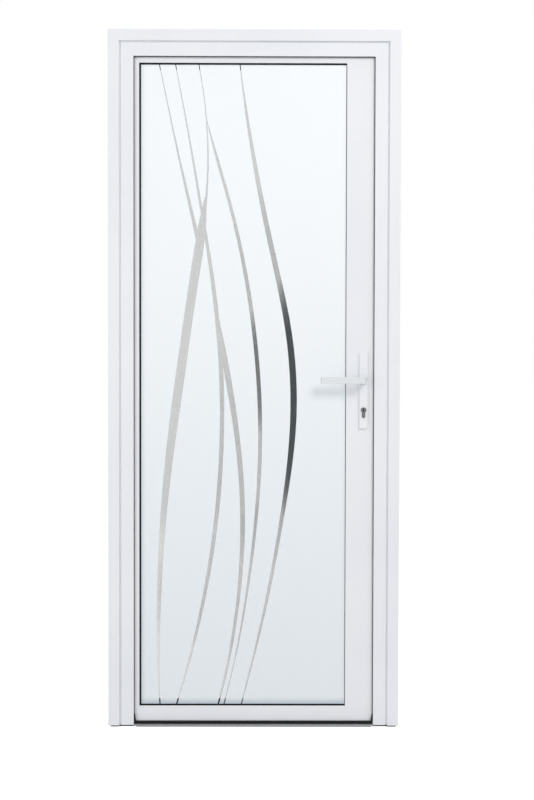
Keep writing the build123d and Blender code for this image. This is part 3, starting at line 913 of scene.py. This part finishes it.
@dataclass
class LeafLook:
    """The leaf's profiles, beads, gaskets and glazing."""

    profile_ease: float = 0.0005
    lip: RoundedStrip = RoundedStrip(width=0.0042, rise=0.0012)
    lip_overlap: float = 0.0008
    stripe_inset: float = 0.00012
    profiles: tuple[str, ...] = (
        "hinge_stile", "lock_stile", "top_rail", "bottom_rail", "side_beads", "cross_beads",
    )
    seals: tuple[str, ...] = ("outer_gasket", "inner_gasket", "bottom_sweep")
    plastics: tuple[str, ...] = ("leaf_cores", "spacer_frame")

    def build(self, finishes: Finishes) -> None:
        """Dress the leaf's nodes, and add the inside gasket's lip and the stripes' glass.

        Args:
            finishes: The door's finishes.
        """
        for name in self.profiles:
            dress_node(name, finishes.coat, self.profile_ease)
        for name in self.seals:
            dress_node(name, finishes.rubber)
        for name in self.plastics:
            dress_node(name, finishes.plastic)
        dress_node("frosted_layer", finishes.etched)
        dress_node("outer_pane", finishes.clear)
        dress_node("inner_pane", finishes.clear)
        self.make_inner_lip(finishes.rubber)
        self.make_stripe_face(finishes.stripes)

    def make_stripe_face(self, material: bpy.types.Material) -> None:
        """Thin face of glass inside the etched sheet, which shows only where its stripes are cut.

        Args:
            material: Finish of the stripes.
        """
        low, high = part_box("frosted_layer")
        inner_low = [side + self.stripe_inset for side in low]
        inner_high = [side - self.stripe_inset for side in high]
        shape = bmesh.new()
        add_block(shape, inner_low, inner_high, 0.0)
        finish_piece(shape, "stripe_glass_face", material, Body.LEAF)

    def make_inner_lip(self, material: bpy.types.Material) -> None:
        """Rounded lip of the inside gasket, tucked under the beads and laid on the glass.

        Args:
            material: Finish of the gasket.
        """
        low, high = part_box("cross_beads")
        bead_width = low[0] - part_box("side_beads")[0][0]
        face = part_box("inner_pane")[1][1]
        across = high[0] - low[0] + 2 * self.lip_overlap
        up = high[2] - low[2] - 2 * (bead_width - self.lip_overlap)
        where = facing(Way.INSIDE, ((low[0] + high[0]) / 2, face, (low[2] + high[2]) / 2))
        shape = bmesh.new()
        self.lip.add(shape, where, across, up)
        finish_piece(shape, "inner_gasket_lip", material, Body.LEAF)


@dataclass
class LockLook:
    """Handle set, lock and strike."""

    plate_ease: float = 0.0004
    screw: ScrewHead = ScrewHead(radius=0.0034)
    faceplate_screw_margin: float = 0.009
    strike_screw_margin: float = 0.010
    plate_screw_margin: float = 0.013
    plug_radius: float = 0.0068
    plug_rise: float = 0.0004
    plug_sides: int = 40
    keyway_width: float = 0.0034
    keyway_height: float = 0.0092
    keyway_rise: float = 0.00055
    bush_radius: float = 0.0112
    bush_rise: float = 0.0012
    bush_sides: int = 48

    def build(self, finishes: Finishes) -> None:
        """Dress the lock's nodes and add its screws, plugs and bushes.

        Args:
            finishes: The door's finishes.
        """
        for name in ("outer_plate", "inner_plate"):
            dress_node(name, finishes.coat)
        for name in ("outer_lever", "inner_lever"):
            dress_node(name, finishes.lever)
        for name in ("strike_plate", "lock_faceplate", "latch_bolt", "dead_bolt"):
            dress_node(name, finishes.steel, self.plate_ease)
        dress_node("spindle", finishes.steel)
        dress_node("lock_cylinder", finishes.nickel, self.plate_ease)
        self.make_screws(finishes)
        for name, way in (("outer", Way.OUTSIDE), ("inner", Way.INSIDE)):
            self.make_plug(finishes, name, way)
            self.make_bush(finishes, name, way)

    def make_screws(self, finishes: Finishes) -> None:
        """Screws at both ends of the faceplate, the strike and the inside plate.

        Args:
            finishes: The door's finishes.
        """
        plan = (
            ("lock_faceplate", Way.LOCK_SIDE, self.faceplate_screw_margin, Body.LEAF),
            ("strike_plate", Way.HINGE_SIDE, self.strike_screw_margin, Body.FRAME),
            ("inner_plate", Way.INSIDE, self.plate_screw_margin, Body.LEAF),
        )
        for node, way, margin, body in plan:
            low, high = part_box(node)
            middle = [(a + b) / 2 for a, b in zip(low, high)]
            for axis, direction in enumerate(way.value):
                if direction:
                    middle[axis] = high[axis] if direction > 0 else low[axis]
            shape = bmesh.new()
            for height in (low[2] + margin, high[2] - margin):
                self.screw.add(shape, way, (middle[0], middle[1], height))
            finish_piece(shape, f"{node}_screws", finishes.steel, body)

    def make_plug(self, finishes: Finishes, name: str, way: Way) -> None:
        """Turning plug of the cylinder, with a black block laid on it as painted shade of its key slot, on
        one face of the door.

        Args:
            finishes: The door's finishes.
            name: Side of the door, as a word for the pieces' names.
            way: Direction that the plug faces.
        """
        low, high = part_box("lock_cylinder")
        barrel = (high[0] - low[0]) / 2
        centre = ((low[0] + high[0]) / 2, low[1] if way is Way.OUTSIDE else high[1], high[2] - barrel)
        rim, rise = self.plug_radius, self.plug_rise
        plug = bmesh.new()
        sections = ((rim, -rise), (rim, 0.0), (rim - rise, rise))
        add_turned(plug, facing(way, centre), sections, self.plug_sides)
        finish_piece(plug, f"{name}_cylinder_plug", finishes.nickel, Body.LEAF)
        # The key slot's hollow is not cut; a thin black block on the plug paints its shade.
        half_width, half_height = self.keyway_width / 2, self.keyway_height / 2
        near, far = sorted((centre[1], centre[1] + way.value[1] * self.keyway_rise))
        keyway_shade = bmesh.new()
        add_block(
            keyway_shade,
            (centre[0] - half_width, near, centre[2] - half_height),
            (centre[0] + half_width, far, centre[2] + half_height),
            0.0,
        )
        finish_piece(keyway_shade, f"{name}_keyway", finishes.plastic, Body.LEAF)

    def make_bush(self, finishes: Finishes, name: str, way: Way) -> None:
        """Nylon bush round the lever's neck, on one face of the door.

        Args:
            finishes: The door's finishes.
            name: Side of the door, as a word for the piece's name.
            way: Direction that the bush faces.
        """
        low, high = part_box(f"{name}_plate")
        spindle_low, spindle_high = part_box("spindle")
        height = (spindle_low[2] + spindle_high[2]) / 2
        face = low[1] if way is Way.OUTSIDE else high[1]
        where = facing(way, ((low[0] + high[0]) / 2, face, height))
        rim, rise = self.bush_radius, self.bush_rise
        shape = bmesh.new()
        sections = ((rim, -rise), (rim, rise / 2), (rim - rise / 2, rise))
        add_turned(shape, where, sections, self.bush_sides)
        finish_piece(shape, f"{name}_neck_bush", finishes.nylon, Body.LEAF)


@dataclass
class HingeLook:
    """Three barrel hinges with their screws, pin caps and grub screws."""

    ease: float = 0.0006
    height: float = 0.110
    plate_thickness: float = 0.006
    knuckle_reach: float = 0.009
    screw: ScrewHead = ScrewHead(radius=0.0042)
    screw_rows: tuple[float, ...] = (-0.040, 0.0, 0.040)
    cap_radius: float = 0.0066
    cap_rise: float = 0.0018
    cap_steps: tuple[tuple[float, float], ...] = ((1.0, 0.0), (1.0, 0.7), (0.86, 1.1), (0.6, 1.25))
    cap_sides: int = 32
    grub: ScrewHead = ScrewHead(radius=0.0022)
    grub_drop: float = 0.012

    def build(self, finishes: Finishes) -> None:
        """Dress the hinges' nodes and add their small pieces.

        Args:
            finishes: The door's finishes.
        """
        for name in ("hinge_frame_halves", "hinge_leaf_halves"):
            dress_node(name, finishes.coat, self.ease)
        dress_node("hinge_pins", finishes.steel)
        self.make_screws(finishes, "hinge_frame_halves", Body.FRAME)
        self.make_screws(finishes, "hinge_leaf_halves", Body.LEAF)
        self.make_caps(finishes)

    def middles(self) -> list[float]:
        """Find the heights of the hinges' middles.

        Returns:
            The three heights, from the lowest.
        """
        low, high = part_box("hinge_frame_halves")
        first = low[2] + self.height / 2
        last = high[2] - self.height / 2
        return [first, (first + last) / 2, last]

    def make_screws(self, finishes: Finishes, node: str, body: Body) -> None:
        """Screws on one side's plates.

        Args:
            finishes: The door's finishes.
            node: Node that holds the plates.
            body: Body that the screws ride on.
        """
        low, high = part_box(node)
        pin_low, pin_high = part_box("hinge_pins")
        axis = (pin_low[0] + pin_high[0]) / 2
        if body is Body.FRAME:
            across = (low[0] + axis - self.knuckle_reach) / 2
        else:
            across = (high[0] + axis + self.knuckle_reach) / 2
        face = low[1] + self.plate_thickness
        shape = bmesh.new()
        for middle in self.middles():
            for row in self.screw_rows:
                self.screw.add(shape, Way.INSIDE, (across, face, middle + row))
        finish_piece(shape, f"{body.value}_hinge_screws", finishes.steel, body)

    def make_caps(self, finishes: Finishes) -> None:
        """Caps on the pins' ends, and grub screws that hold the pins.

        Args:
            finishes: The door's finishes.
        """
        pin_low, pin_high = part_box("hinge_pins")
        axis_x = (pin_low[0] + pin_high[0]) / 2
        axis_y = (pin_low[1] + pin_high[1]) / 2
        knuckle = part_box("hinge_frame_halves")[1][1]
        sections = [(self.cap_radius * share, self.cap_rise * level) for share, level in self.cap_steps]
        caps = bmesh.new()
        grubs = bmesh.new()
        for middle in self.middles():
            for sign, way in ((1, Way.UP), (-1, Way.DOWN)):
                end = middle + sign * self.height / 2
                add_turned(caps, facing(way, (axis_x, axis_y, end)), sections, self.cap_sides)
                self.grub.add(grubs, Way.INSIDE, (axis_x, knuckle, end - sign * self.grub_drop))
        finish_piece(caps, "hinge_pin_caps", finishes.nylon, Body.FRAME)
        finish_piece(grubs, "hinge_grub_screws", finishes.steel, Body.FRAME)


def main() -> None:
    """Build the whole look in order."""
    logging.basicConfig(level=logging.INFO, format="%(message)s")
    Studio().build()
    finishes = Finishes.make()
    for look in (FrameLook(), LeafLook(), LockLook(), HingeLook()):
        look.build(finishes)
    bpy.context.view_layer.update()


if __name__ == "__main__":
    main()
